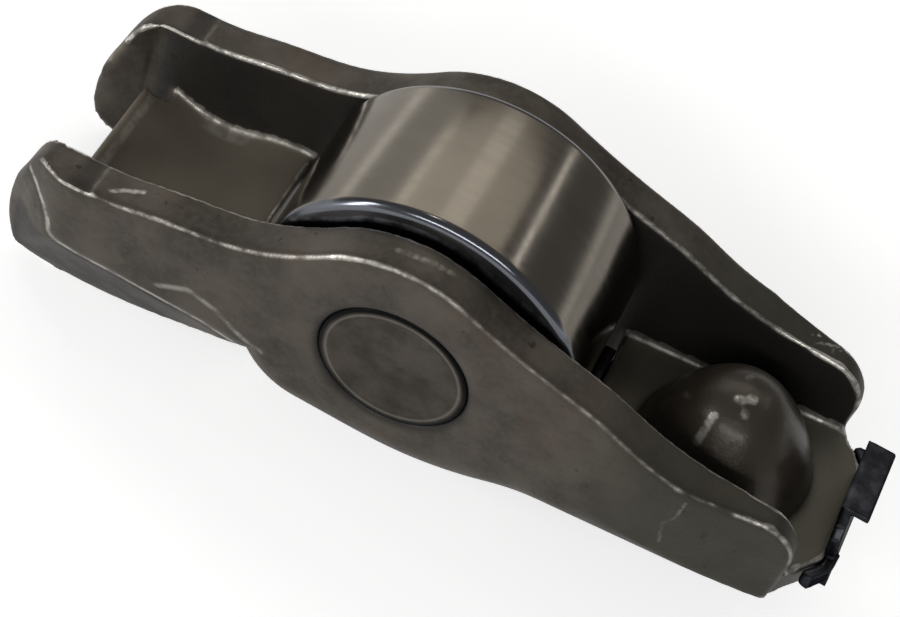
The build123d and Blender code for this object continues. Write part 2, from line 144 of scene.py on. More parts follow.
class RockerArmFinish(bpy.types.PropertyGroup):
    """Colours and surfaces of the steels, with the painted shade and painted highlights on
    them.
    """

    stamped_colour: bpy.props.FloatVectorProperty(
        name="Stamped steel",
        description="Colour of the arm's hardened, oiled steel",
        subtype="COLOR",
        default=(0.094, 0.081, 0.066),
    )
    # Painted highlight as well as wear: this bright colour also draws the light lines that
    # stand for highlights.
    worn_and_highlit_colour: bpy.props.FloatVectorProperty(
        name="Worn edges",
        description="Colour of the arm where its edges are rubbed bright",
        subtype="COLOR",
        default=(0.8, 0.765, 0.7),
    )
    # Painted shade: this dark colour darkens the walls' inner faces, the undersides, the
    # countersinks and the hollows.
    shade_colour: bpy.props.FloatVectorProperty(
        name="Oil film",
        description="Colour of the dark oil on the inner faces",
        subtype="COLOR",
        default=(0.028, 0.027, 0.026),
    )
    dome_colour: bpy.props.FloatVectorProperty(
        name="Dome",
        description="Colour of the polished socket dome",
        subtype="COLOR",
        default=(0.064, 0.054, 0.042),
    )
    matt_colour: bpy.props.FloatVectorProperty(
        name="Channel floors",
        description="Colour of the matt steel between the walls",
        subtype="COLOR",
        default=(0.21, 0.18, 0.137),
    )
    roller_colour: bpy.props.FloatVectorProperty(
        name="Ground steel",
        description="Colour of the roller's ground running face",
        subtype="COLOR",
        default=(0.24, 0.215, 0.18),
    )
    # Painted reflection: the shoulders are tinted darker and bluer than the running face.
    shoulder_reflection_colour: bpy.props.FloatVectorProperty(
        name="Shoulders",
        description="Colour of the roller's rounded shoulders, blued by hardening",
        subtype="COLOR",
        default=(0.175, 0.185, 0.208),
    )
    axle_colour: bpy.props.FloatVectorProperty(
        name="Axle ends",
        description="Colour of the axle's dark ends",
        subtype="COLOR",
        default=(0.084, 0.073, 0.061),
    )
    clip_colour: bpy.props.FloatVectorProperty(
        name="Blackened spring steel",
        description="Colour of the retaining clip",
        subtype="COLOR",
        default=(0.026, 0.027, 0.031),
    )
    needle_colour: bpy.props.FloatVectorProperty(
        name="Bearing steel",
        description="Colour of the needles",
        subtype="COLOR",
        default=(0.55, 0.54, 0.52),
    )
    # Painted highlight as well as wear: how bright the worn edges and the light lines are.
    wear_and_sheen: bpy.props.FloatProperty(
        name="Wear",
        description="How bright the rubbed edges are",
        subtype="FACTOR",
        default=0.95,
        min=0.0,
        max=1.0,
    )


class RockerArmStage(bpy.types.PropertyGroup):
    """Floor, lamps and camera."""

    floor_colour: bpy.props.FloatVectorProperty(
        name="Floor",
        description="Colour of the plain floor",
        subtype="COLOR",
        default=(0.9, 0.9, 0.9),
    )
    floor_lift: bpy.props.FloatProperty(
        name="Floor lift",
        description="How far the floor is lifted towards white for the camera",
        default=0.6,
        min=0.0,
        max=1.0,
    )
    room_light: bpy.props.FloatProperty(
        name="Room light",
        description="Brightness of the room above its pale horizon",
        default=0.16,
        min=0.0,
        max=1.0,
    )
    horizon_light: bpy.props.FloatProperty(
        name="Horizon",
        description="Brightness of the room's pale horizon",
        default=0.85,
        min=0.0,
        max=1.0,
    )
    box_power: bpy.props.FloatProperty(
        name="Soft box",
        description="Power of the soft lamp above and behind the arm",
        default=0.185,
        unit="POWER",
    )
    wall_power: bpy.props.FloatProperty(
        name="Left wall",
        description="Power of the soft lamp beyond the soft box's left end",
        default=0.092,
        unit="POWER",
    )
    half_power: bpy.props.FloatProperty(
        name="Left half",
        description="Power that is added to the soft box's left half",
        default=0.016,
        unit="POWER",
    )
    band_power: bpy.props.FloatProperty(
        name="Middle band",
        description="Power of the lamp whose band runs across the roller",
        default=0.024,
        unit="POWER",
    )
    side_power: bpy.props.FloatProperty(
        name="Side strip",
        description="Power of the thin lamp beside the soft box",
        default=0.03,
        unit="POWER",
    )
    window_power: bpy.props.FloatProperty(
        name="Window",
        description="Power of the bright lamp that draws the highlights",
        default=0.3,
        unit="POWER",
    )
    spot_power: bpy.props.FloatProperty(
        name="Spot",
        description="Power of the small lamp that glints on the dome",
        default=0.02,
        unit="POWER",
    )
    strip_power: bpy.props.FloatProperty(
        name="Front strip",
        description="Power of the long lamp that draws the lines along the rims",
        default=0.34,
        unit="POWER",
    )
    lens: bpy.props.FloatProperty(
        name="Lens",
        description="Focal length of the camera in millimetres",
        subtype="DISTANCE_CAMERA",
        default=98.5,
    )


# -------------------- mesh helpers
def new_object(name, data):
    obj = bpy.data.objects.new(name, data)
    bpy.context.scene.collection.objects.link(obj)
    return obj


def finished(obj, body, slot, material, *nodes):
    """Hands a piece to the frame: its finish, its body and the nodes it stands for."""
    obj.data.materials.clear()
    obj.data.materials.append(material)
    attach(obj, body)
    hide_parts(*nodes)
    return obj


def even_copy(node, name, grain, softening):
    """Copy of a node's mesh on an even grid, with its edges eased."""
    enlarged = 1 / MM
    same_place = 1e-7
    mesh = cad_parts[node].data.copy()
    mesh.materials.clear()
    work = bmesh.new()
    work.from_mesh(mesh)
    bmesh.ops.remove_doubles(work, verts=work.verts, dist=same_place)
    work.to_mesh(mesh)
    work.free()
    mesh.transform(Matrix.Scale(enlarged, 4))
    obj = new_object(name, mesh)
    remesh = obj.modifiers.new("Even grid", "REMESH")
    remesh.mode = "VOXEL"
    remesh.voxel_size = grain * enlarged
    smooth = obj.modifiers.new("Eased edges", "SMOOTH")
    smooth.factor = 0.5
    smooth.iterations = softening
    bpy.context.view_layer.update()
    evaluated = obj.evaluated_get(bpy.context.evaluated_depsgraph_get())
    result = bpy.data.meshes.new_from_object(evaluated)
    obj.modifiers.clear()
    result.transform(Matrix.Scale(MM, 4))
    result.name = name
    obj.data = result
    bpy.data.meshes.remove(mesh)
    result.shade_smooth()
    return obj


def within(values, low, high):
    return (values > low) & (values < high)


def vertex_places(mesh):
    places = np.zeros(len(mesh.vertices) * 3)
    mesh.vertices.foreach_get("co", places)
    return places.reshape(-1, 3)


def vertex_normals(mesh):
    normals = np.zeros(len(mesh.vertices) * 3, np.float32)
    mesh.vertex_normals.foreach_get("vector", normals)
    return normals.reshape(-1, 3).astype(float)


def neighbour_mean(mesh, values, rounds=1):
    """Each vertex's value averaged with those of its neighbours, as often as asked."""
    pairs = np.zeros(len(mesh.edges) * 2, np.int32)
    mesh.edges.foreach_get("vertices", pairs)
    a, b = pairs.reshape(-1, 2).T
    count = np.bincount(np.concatenate((a, b)), minlength=len(values))
    columns = values.reshape(len(values), -1)
    for _ in range(rounds):
        mean = np.empty_like(columns)
        for i, column in enumerate(columns.T):
            total = np.bincount(a, column[b], len(values))
            total += np.bincount(b, column[a], len(values))
            mean[:, i] = total / np.maximum(count, 1)
        columns = (columns + mean) / 2
    return columns.reshape(values.shape)


def set_attribute(mesh, name, values):
    made = mesh.attributes.new(name, "FLOAT", "POINT")
    made.data.foreach_set("value", np.clip(values, 0, 1).astype(np.float32))


def smoothstep(values, start, end):
    t = np.clip((values - start) / (end - start), 0, 1)
    return t * t * (3 - 2 * t)


def bulge(mesh, rounds):
    """How far each vertex stands out of its surroundings: positive on outer edges."""
    places = vertex_places(mesh)
    out = places - neighbour_mean(mesh, places, rounds)
    return (out * vertex_normals(mesh)).sum(1)


def from_route(places, route, axes):
    """Distance of each vertex from a route of straight runs, seen in these axes."""
    points = places[:, axes]
    route = np.array(route) * MM
    least = np.full(len(points), np.inf)
    for start, end in zip(route, route[1:]):
        run = end - start
        share = np.clip((points - start) @ run / (run @ run), 0, 1)
        away = np.linalg.norm(points - start - share[:, None] * run, axis=1)
        least = np.minimum(least, away)
    return least


def move_vertices(mesh, places):
    mesh.vertices.foreach_set("co", places.astype(np.float32).ravel())
    mesh.update()


def eased_where(mesh, share, rounds):
    """Rounds the mesh off further where share is 1."""
    places = vertex_places(mesh)
    eased = neighbour_mean(mesh, places, rounds)
    move_vertices(mesh, places + share[:, None] * (eased - places))


def turned_mesh(name, profile, segments, hollow):
    """Mesh turned round Y from (radius, y) pairs; a hollow profile is closed."""
    mesh = bpy.data.meshes.new(name)
    work = bmesh.new()
    rings = []
    for radius, y in profile:
        if radius == 0:
            rings.append([work.verts.new((0, y, 0))])
            continue
        turns = (2 * pi * i / segments for i in range(segments))
        places = [(radius * cos(turn), y, radius * sin(turn)) for turn in turns]
        rings.append([work.verts.new(place) for place in places])
    pairs = list(zip(rings, rings[1:]))
    if hollow:
        pairs.append((rings[-1], rings[0]))
    for first, second in pairs:
        for i in range(segments):
            j = (i + 1) % segments
            corners = [first[i % len(first)], first[j % len(first)]]
            corners += [second[j % len(second)], second[i % len(second)]]
            work.faces.new(dict.fromkeys(corners))
    work.to_mesh(mesh)
    work.free()
    return with_outward_faces(mesh)


def rounded(corner, radius, start, steps=6):
    """Quarter turn of a profile's corner, as (radius, y) pairs, round its centre."""
    turns = (radians(start + 90 * i / steps) for i in range(steps + 1))
    return [(corner[0] + radius * cos(t), corner[1] + radius * sin(t)) for t in turns]


def with_outward_faces(mesh):
    work = bmesh.new()
    work.from_mesh(mesh)
    bmesh.ops.recalc_face_normals(work, faces=work.faces)
    work.to_mesh(mesh)
    work.free()
    mesh.shade_smooth()
    return mesh


# -------------------- node helpers
def new_material(name):
    material = bpy.data.materials.new(name)
    material.use_nodes = True
    shader = material.node_tree.nodes["Principled BSDF"]
    shader.inputs["Metallic"].default_value = 1.0
    return material, material.node_tree, shader


def wire(tree, made, inputs):
    """Gives a node its inputs by name, each as a socket or a plain value."""
    for name, value in inputs.items():
        if isinstance(value, bpy.types.NodeSocket):
            tree.links.new(value, made.inputs[name])
        else:
            made.inputs[name].default_value = value


def node(tree, kind, inputs=None, **settings):
    made = tree.nodes.new(kind)
    for key, value in settings.items():
        setattr(made, key, value)
    wire(tree, made, inputs or {})
    return made


def noise(tree, vector, scale, detail, roughness=0.6):
    inputs = {"Vector": vector, "Scale": scale, "Detail": detail, "Roughness": roughness}
    return node(tree, "ShaderNodeTexNoise", inputs).outputs["Fac"]


def remap(tree, value, low, high, to_low=0.0, to_high=1.0):
    inputs = {"Value": value, "From Min": low, "From Max": high}
    inputs.update({"To Min": to_low, "To Max": to_high})
    settings = {"clamp": True, "interpolation_type": "SMOOTHSTEP"}
    return node(tree, "ShaderNodeMapRange", inputs, **settings).outputs["Result"]


def maths(tree, operation, a, b):
    made = node(tree, "ShaderNodeMath", operation=operation)
    for socket, value in zip(made.inputs, (a, b)):
        if isinstance(value, (int, float)):
            socket.default_value = value
        else:
            tree.links.new(value, socket)
    return made.outputs[0]


def mixed(tree, share, first, second):
    """Colour mixed from two, each an RGB triple or a socket."""
    made = node(tree, "ShaderNodeMix", data_type="RGBA")
    tree.links.new(share, made.inputs["Factor"])
    for socket, value in zip((made.inputs[6], made.inputs[7]), (first, second)):
        if isinstance(value, bpy.types.NodeSocket):
            tree.links.new(value, socket)
        else:
            socket.default_value = (*value, 1.0)
    return made.outputs[2]


def product(tree, first, *others):
    for other in others:
        first = maths(tree, "MULTIPLY", first, other)
    return first


def added(tree, first, *shares):
    """A value with shares of others added, each given as (socket, amount)."""
    for socket, amount in shares:
        first = maths(tree, "ADD", first, product(tree, socket, amount))
    return first


def scaled(colour, factor):
    return tuple(channel * factor for channel in colour)


def attribute(tree, name):
    return node(tree, "ShaderNodeAttribute", attribute_name=name).outputs["Fac"]


def object_place(tree, scale=None):
    """Object coordinates, scaled for patterns that run along one axis."""
    place = node(tree, "ShaderNodeTexCoord").outputs["Object"]
    if scale is None:
        return place
    inputs = {"Vector": place, "Scale": scale}
    return node(tree, "ShaderNodeMapping", inputs).outputs["Vector"]


def axis_place(tree, place, axis):
    return node(tree, "ShaderNodeSeparateXYZ", {"Vector": place}).outputs[axis]


def bump(tree, shader, height, grain):
    inputs = {"Height": height, "Strength": grain.strength, "Distance": grain.depth * MM}
    wire(tree, shader, {"Normal": node(tree, "ShaderNodeBump", inputs).outputs["Normal"]})


# -------------------- finishes
class Pattern(NamedTuple):
    """Noise at a scale to the metre, spread from least to most between two levels."""

    scale: float
    detail: float
    low: float = 0.3
    high: float = 0.7
    least: float = 0.0
    most: float = 1.0
    roughness: float = 0.6


class Grain(NamedTuple):
    """Fine bumps, with their depth in millimetres."""

    scale: float
    detail: float
    depth: float
    strength: float


CLOUDS = Pattern(260.0, 5.0)
SPECKS = Pattern(2600.0, 3.0, 0.35, 0.75)
RUST = Pattern(150.0, 6.0, 0.52, 0.72, most=0.45, roughness=0.7)
PITS = Pattern(1100.0, 2.0, 0.68, 0.76, most=0.8)
RAGGED = Pattern(1300.0, 4.0, 0.36, 0.6, least=0.25)
ROLLER_CLOUDS = Pattern(220.0, 4.0)
AXLE_CLOUDS = Pattern(420.0, 5.0)
CLIP_CLOUDS = Pattern(900.0, 4.0, 0.35, 0.7)
NEEDLE_STREAKS = Pattern(1.0, 2.0, least=0.12, most=0.2)

STAMPED_GRAIN = Grain(3800.0, 3.0, 0.03, 0.7)
ROLLER_GRAIN = Grain(1.0, 3.0, 0.0004, 0.3)
AXLE_GRAIN = Grain(3500.0, 3.0, 0.015, 0.6)
CLIP_GRAIN = Grain(3000.0, 2.0, 0.01, 0.5)

# scales along the axes, for marks that run round Y or along it
GRINDING = (60.0, 2600.0, 60.0)
DRAWING = (900.0, 90.0, 900.0)
ACROSS_Y = (1.0, 0.0, 1.0)

# roughness where the clouds are thin and where they are thick
STAMPED_ROUGHNESS = (0.5, 0.4)
AXLE_ROUGHNESS = (0.5, 0.38)
CLIP_ROUGHNESS = (0.42, 0.3)
ROLLER_ROUGHNESS = (0.15, 0.2)
COAT_ROUGHNESS = (0.2, 0.1)

RUST_COLOUR = (0.115, 0.078, 0.055)
OLIVE_COLOUR = (0.05, 0.048, 0.036)
WEB_COLOUR = (0.16, 0.155, 0.12)
# Painted shade: near black where the arm's shade is deepest, in the countersinks.
DEEP_SHADE_COLOUR = (0.006, 0.006, 0.006)
# Painted shade: near black round the rims of the axle ends.
RIM_SHADE_COLOUR = (0.008, 0.008, 0.008)

# where the finishes change, in millimetres, from start to end
OLIVE_X = (8, 16)
SHOULDER_INSET = (0.5, 0.3)
AXLE_RING_RISE = (3.6, 3.72)
AXLE_RING_FALL = (3.74, 3.84)
AXLE_RIM = (3.8, 4.0)

# levels of the arm's attributes between which each finish, painted shade and painted
# highlight comes in
DEEP_SHADE = (0.82, 0.92)
WORN_AND_HIGHLIT_EDGE = (0.42, 0.56)
HIGHLIGHT_LINE = (0.25, 0.75)
WET_DOME = (0.7, 0.95)
GLINT = (0.1, 0.5)

# most that each finish covers
SPECK_SHARE = 0.5
OLIVE_SHARE = 0.8
MATT_SHARE = 0.8
LINE_SHARE = 0.7
WET_DOME_SHARE = 0.22
AXLE_RING_SHARE = 0.14


def patches(tree, place, pattern):
    value = noise(tree, place, pattern.scale, pattern.detail, pattern.roughness)
    return remap(tree, value, pattern.low, pattern.high, pattern.least, pattern.most)


def fine_noise(tree, place, grain):
    return noise(tree, place, grain.scale, grain.detail)


def change_at(tree, value, places, to_low=0.0, to_high=1.0):
    """Changes from one level to another between two places in millimetres."""
    return remap(tree, value, places[0] * MM, places[1] * MM, to_low, to_high)


def stamped_steel(finish):
    """Hardened and oiled stamped steel, worn bright on its edges, with painted highlights
    along its lines and painted shade in its hollows and on its inner faces.
    """
    material, tree, shader = new_material("Stamped steel")
    shader.inputs["Specular IOR Level"].default_value = 0.3
    place = object_place(tree)
    cloud = patches(tree, place, CLOUDS)
    speck = patches(tree, place, SPECKS)
    dark = scaled(finish.stamped_colour, 0.62)
    light = scaled(finish.stamped_colour, 1.3)
    pitted = scaled(finish.stamped_colour, 0.3)
    olive = change_at(tree, axis_place(tree, place, "X"), OLIVE_X, 0.0, OLIVE_SHARE)
    matt, dome, oil = (attribute(tree, name) for name in ("matt", "dome", "oil"))

    steel = mixed(tree, cloud, dark, light)
    steel = mixed(tree, product(tree, speck, SPECK_SHARE), steel, light)
    steel = mixed(tree, patches(tree, place, RUST), steel, RUST_COLOUR)
    steel = mixed(tree, olive, steel, OLIVE_COLOUR)
    steel = mixed(tree, patches(tree, place, PITS), steel, pitted)
    floors = mixed(tree, olive, finish.matt_colour, WEB_COLOUR)
    steel = mixed(tree, product(tree, matt, MATT_SHARE), steel, floors)
    steel = mixed(tree, dome, steel, finish.dome_colour)
    # Painted shade: inner faces, undersides, seats and hollows darkened, the deepest near
    # black.
    steel = mixed(tree, oil, steel, finish.shade_colour)
    steel = mixed(tree, remap(tree, oil, *DEEP_SHADE), steel, DEEP_SHADE_COLOUR)

    # Worn edges, partly a painted highlight, and the light lines, which are painted
    # highlights, mix in the worn colour.
    ragged = patches(tree, place, RAGGED)
    edge = remap(tree, attribute(tree, "edge"), *WORN_AND_HIGHLIT_EDGE)
    edge = product(tree, edge, ragged, attribute(tree, "rubbing"))
    line = remap(tree, attribute(tree, "line"), *HIGHLIGHT_LINE)
    line = product(tree, line, LINE_SHARE, ragged)
    rubbed_and_highlit = product(tree, maths(tree, "MAXIMUM", edge, line), finish.wear_and_sheen)
    rough = remap(tree, cloud, 0.0, 1.0, *STAMPED_ROUGHNESS)
    wet = remap(tree, dome, *WET_DOME, 0.0, WET_DOME_SHARE)
    glint = product(tree, dome, line)
    inputs = {
        "Base Color": mixed(tree, rubbed_and_highlit, steel, finish.worn_and_highlit_colour),
        "Metallic": added(tree, 0.5, (rubbed_and_highlit, 0.5), (matt, -0.3)),
        "Roughness": added(tree, rough, (dome, -0.08), (rubbed_and_highlit, -0.12), (matt, 0.1)),
        "Coat Weight": maths(tree, "MAXIMUM", wet, glint),
        "Coat Roughness": remap(tree, glint, *GLINT, *COAT_ROUGHNESS),
    }
    wire(tree, shader, inputs)
    height = added(tree, fine_noise(tree, place, STAMPED_GRAIN), (cloud, 0.6))
    bump(tree, shader, height, STAMPED_GRAIN)
    return material


def ground_steel(finish):
    """Running face of the roller, ground round its axis."""
    material, tree, shader = new_material("Ground steel")
    place = object_place(tree)
    ground = fine_noise(tree, object_place(tree, GRINDING), ROLLER_GRAIN)
    cloud = patches(tree, place, ROLLER_CLOUDS)
    dull = scaled(finish.roller_colour, 0.88)
    colour = mixed(tree, cloud, dull, finish.roller_colour)
    aside = maths(tree, "ABSOLUTE", axis_place(tree, place, "Y"), 0.0)
    start, end = (ROLLER_HALF_WIDTH / MM - inset for inset in SHOULDER_INSET)
    shoulder = change_at(tree, aside, (start, end))
    # Painted reflection: a cool, darker tint on the rounded shoulders.
    colour = mixed(tree, shoulder, colour, finish.shoulder_reflection_colour)
    rough = remap(tree, ground, 0.3, 0.7, *ROLLER_ROUGHNESS)
    wire(tree, shader, {"Base Color": colour, "Roughness": rough})
    bump(tree, shader, ground, ROLLER_GRAIN)
    return material


def axle_steel(finish):
    """Turned ends of the axle, dark and old-oiled, with a worn ring in their rim and
    painted shade round its edge.
    """
    material, tree, shader = new_material("Axle steel")
    place = object_place(tree)
    cloud = patches(tree, place, AXLE_CLOUDS)
    dark = scaled(finish.axle_colour, 0.7)
    light = scaled(finish.axle_colour, 1.25)
    across = {"Vector": object_place(tree, ACROSS_Y)}
    length = node(tree, "ShaderNodeVectorMath", across, operation="LENGTH")
    radius = length.outputs["Value"]
    rise = change_at(tree, radius, AXLE_RING_RISE)
    fall = change_at(tree, radius, AXLE_RING_FALL, 1.0, 0.0)
    ring = product(tree, rise, fall, AXLE_RING_SHARE)
    face = mixed(tree, cloud, dark, light)
    face = mixed(tree, ring, face, finish.worn_and_highlit_colour)
    # Painted shade: near black beyond the worn ring, round the rim.
    face = mixed(tree, change_at(tree, radius, AXLE_RIM), face, RIM_SHADE_COLOUR)
    rough = remap(tree, cloud, 0.0, 1.0, *AXLE_ROUGHNESS)
    wire(tree, shader, {"Base Color": face, "Roughness": rough})
    bump(tree, shader, fine_noise(tree, place, AXLE_GRAIN), AXLE_GRAIN)
    return material


def needle_steel(finish):
    """Polished bearing steel."""
    material, tree, shader = new_material("Needle steel")
    streak = patches(tree, object_place(tree, DRAWING), NEEDLE_STREAKS)
    wire(tree, shader, {"Base Color": (*finish.needle_colour, 1.0), "Roughness": streak})
    return material


def blackened_spring_steel(finish):
    """Blackened spring steel of the clip."""
    material, tree, shader = new_material("Blackened spring steel")
    shader.inputs["Specular Tint"].default_value = (0.3, 0.3, 0.3, 1.0)
    place = object_place(tree)
    cloud = patches(tree, place, CLIP_CLOUDS)
    light = scaled(finish.clip_colour, 2.2)
    colour = mixed(tree, cloud, finish.clip_colour, light)
    rough = remap(tree, cloud, 0.0, 1.0, *CLIP_ROUGHNESS)
    wire(tree, shader, {"Base Color": colour, "Roughness": rough})
    bump(tree, shader, fine_noise(tree, place, CLIP_GRAIN), CLIP_GRAIN)
    return material


def floor_paint(stage):
    """Plain pale floor, lifted to white for the camera and for what reflects it."""
    mirrored_share = 0.4
    material, tree, shader = new_material("Floor paint")
    rays = node(tree, "ShaderNodeLightPath").outputs
    mirrored = product(tree, rays["Is Glossy Ray"], mirrored_share)
    seen = maths(tree, "MAXIMUM", rays["Is Camera Ray"], rays["Is Transmission Ray"])
    seen = maths(tree, "MAXIMUM", seen, mirrored)
    inputs = {
        "Metallic": 0.0,
        "Roughness": 0.9,
        "Specular IOR Level": 0.0,
        "Base Color": (*stage.floor_colour, 1.0),
        "Emission Color": WHITE,
        "Emission Strength": product(tree, seen, stage.floor_lift),
    }
    wire(tree, shader, inputs)
    return material


# -------------------- pieces
SIDE, TOP, SPACE = (0, 2), (0, 1), (0, 1, 2)


class Line(NamedTuple):
    """A line on the arm, in millimetres: full out to its core and gone at its reach."""

    route: tuple
    axes: tuple
    reach: float
    core: float
    strength: float = 1.0


# Light lines drawn in the worn colour: painted highlights along the crease and the bends,
# at the pallet and on the walls' tops, and painted glints on the dome; only the top
# scratch is wear.
GUIDE_CREASE = Line(
    ((-22.0, -1.5), (-20.9, -1.7), (-20.1, -2.3), (-19.7, -2.9), (-19.4, -3.9))
    + ((-18.9, -4.3), (-17.3, -4.5), (-15.7, -4.4), (-10.1, -4.5), (-8.0, -5.3)),
    SIDE,
    reach=0.3,
    core=0.02,
)
GUIDE_GROOVE = GUIDE_CREASE._replace(reach=0.5, core=0.0)
BELLY_BEND = Line(
    ((-13.0, -3.3), (-11.3, -2.3), (-9.7, -2.7), (-8.0, -3.7), (-6.6, -4.2)),
    SIDE,
    reach=0.5,
    core=0.0,
    strength=0.6,
)
END_BEND = Line(
    ((16.15, 2.0), (16.1, 0.4), (15.7, -0.4), (16.1, -2.1)),
    SIDE,
    reach=0.3,
    core=0.0,
    strength=0.5,
)
TOP_SCRATCH = Line(((-16.9, -6.6), (-16.2, -6.2), (-15.3, -5.9)), TOP, 0.22, 0.05)
TOP_TICK_HIGHLIGHTS = Line(((-2.3, -6.1), (-0.8, -6.0), (0.8, -5.85)), TOP, 0.35, 0.15)
END_GLINTS = Line(((18.1, 6.1), (19.2, 5.8), (19.9, 6.0), (20.4, 6.3)), TOP, 0.5, 0.2)
DOME_GLINTS = [
    Line(route, SPACE, 0.4, 0.2, strength)
    for route, strength in (
        (((13.75, -0.5, 1.15), (14.0, -0.8, 1.45)), 0.4),
        (((15.5, -1.9, 2.4), (15.4, -2.8, 1.1)), 0.7),
        (((16.2, 0.6, 3.28), (16.3, 0.9, 3.2)), 0.42),
        (((16.25, -0.8, 3.26), (16.35, -0.8, 3.27)), 0.8),
        (((16.8, -0.5, 3.38), (16.9, -0.5, 3.38)), 0.8),
        (((16.8, -1.3, 3.1), (16.9, -1.4, 3.08)), 0.6),
    )
]
TICK_PITCH = 0.45

# places on the arm, in millimetres: X to the socket, Y to the far wall, Z up
HALF_GAP = 5.03  # walls' inner faces
OUTER_HALF = 5.6  # the walls' outer halves start here
CORNER_Y = 4.93
FLOOR_HALF_WIDTH = 4.95
RIM_HALF_WIDTH = 4.9
DOME_HALF_WIDTH = 4.7
WEB_X = 9.7
WEB_START = (9.75, -3.65)
WEB_END_EDGE = (9.5, 10.5)
WEB_END_HALF_WIDTH = 4.8
PALLET_X = -9.9
PALLET_CORNER = (-18.5, -9.7)
PALLET_RIM = (-18.4, -19.2)
PALLET_RIM_HEIGHT = (-5.2, -1.5)
PALLET_LIP = (-18.7, -18.95)
PALLET_GLOW = (-14.9, 4.4)
EAR_TIPS = (-21.6, -22.4)
EAR_FADE = (-21.5, -20.0)
FORMING_STEP = -17.75
FORMING_RAMP = 1.1  # the ramp's length, out from the step
SEAT_RADIUS = 4.36  # countersink round each axle end
SEAT_Y = 6.3

# sizes of the arm's small forms, in millimetres
RAMP_DEPTH = 0.1
STEP_DEPTH = 0.08
GROOVE_DEPTH = 0.07
DOME_FULLNESS = 0.5
DOME_MARGIN = 0.4  # kept as it is round the dome's foot
DOME_BASE = 0.3
DOME_CROWN = 1.0
FULL_BULGE = 0.1

# how many times each rim is rounded, and how wide the bulges are measured
RIM_ROUNDS = 50
EAR_ROUNDS = 14
BULGE_ROUNDS = 8

# least and full slope of a face, as its normal's part along the axis
LEVEL = (0.6, 0.9)
NOT_UNDER = (-0.35, 0.1)
UNDER = (0.7, 0.95)
UPRIGHT = (0.8, 0.95)

# how much of each edge is worn bright, partly as a painted highlight, as (x, share)
EDGE_WEAR_AND_SHEEN = ((-23, 1), (-2, 1), (3, 0.4), (16, 0.4), (18, 1), (21, 1), (22.5, 0.5))

# how light these painted highlights are, and how dark the painted shade is on these faces
STEP_LINE = 0.45
LIP_LINE = 0.47
GLOW_LINE = 0.46
PALLET_CORNER_LINE = 0.8
FAR_WALL_SHADE = 0.8
NEAR_WALL_SHADE = 0.4
UNDERSIDE_SHADE = 0.7
BELOW_CREASE_SHADE = 0.8
EAR_RAMP_SHADE = 0.75
MOST_SHADE = 0.92


def drawn(places, line):
    """How strongly a line shows at each vertex."""
    away = from_route(places, line.route, line.axes)
    return line.strength * smoothstep(away, line.reach * MM, line.core * MM)


def web_height(x):
    """Top of the web, in millimetres, at a place along the arm."""
    start, height = WEB_START
    return height + (x - start) * tan(WEB_PITCH)


def above_web(places):
    """Height of each place over the web at the dome, and its way from the axis."""
    from_dome = places - np.array(DOME_PLACE)
    up = np.array((-sin(WEB_PITCH), 0, cos(WEB_PITCH)))
    height = from_dome @ up
    away = from_dome - np.outer(height, up)
    return height, away


def form_arm(mesh):
    """Small forms of the pressed arm: pallet rim, ear tips, full dome and step."""
    facing_up = vertex_normals(mesh)[:, 2]
    x, y, z = vertex_places(mesh).T / MM
    rim = smoothstep(x, *PALLET_RIM) * (np.abs(y) < RIM_HALF_WIDTH)
    eased_where(mesh, rim * within(z, *PALLET_RIM_HEIGHT), RIM_ROUNDS)
    eased_where(mesh, smoothstep(x, *EAR_TIPS), EAR_ROUNDS)

    places = vertex_places(mesh)
    height, away = above_web(places)
    aside = np.linalg.norm(away, axis=1)
    on_dome = (aside < DOME_FOOT - DOME_MARGIN * MM) * (height > DOME_BASE * MM)
    on_dome *= np.abs(y) < DOME_HALF_WIDTH
    share = np.clip(height / height[aside < DOME_CROWN * MM].max(), 0, 1)
    fuller = DOME_FULLNESS * MM * np.sin(pi * share) * on_dome
    places += away * (fuller / np.maximum(aside, 0.1 * MM))[:, None]

    groove = drawn(places, GUIDE_GROOVE) * (np.abs(y) > OUTER_HALF)
    places[:, 1] -= np.sign(y) * groove * GROOVE_DEPTH * MM

    top = smoothstep(facing_up, *LEVEL) * (z > -0.6)
    fade = smoothstep(x, *EAR_FADE)
    ramp = smoothstep(x, FORMING_STEP, FORMING_STEP - FORMING_RAMP) * fade
    step = smoothstep(x, FORMING_STEP + 0.15, FORMING_STEP - 0.15) * fade
    places[:, 2] -= top * (RAMP_DEPTH * ramp + STEP_DEPTH * step) * MM
    move_vertices(mesh, places)


def top_scratch_and_highlights(places, x, y):
    """Scratch and painted highlights on the walls' top faces: a light line at the step, a
    ticked row and scattered glints at the end.
    """
    step = STEP_LINE * smoothstep(np.abs(x - FORMING_STEP - 0.1), 0.25, 0.05)
    tick_highlights = drawn(places, TOP_TICK_HIGHLIGHTS) * (0.45 + 0.12 * np.sin(x * 2 * pi / TICK_PITCH))
    scattered = np.sin(9 * x) * np.sin(11 * y + 2 * x) > 0.25
    end_glints = drawn(places, END_GLINTS) * scattered
    return np.maximum.reduce([drawn(places, TOP_SCRATCH), step, tick_highlights, end_glints])


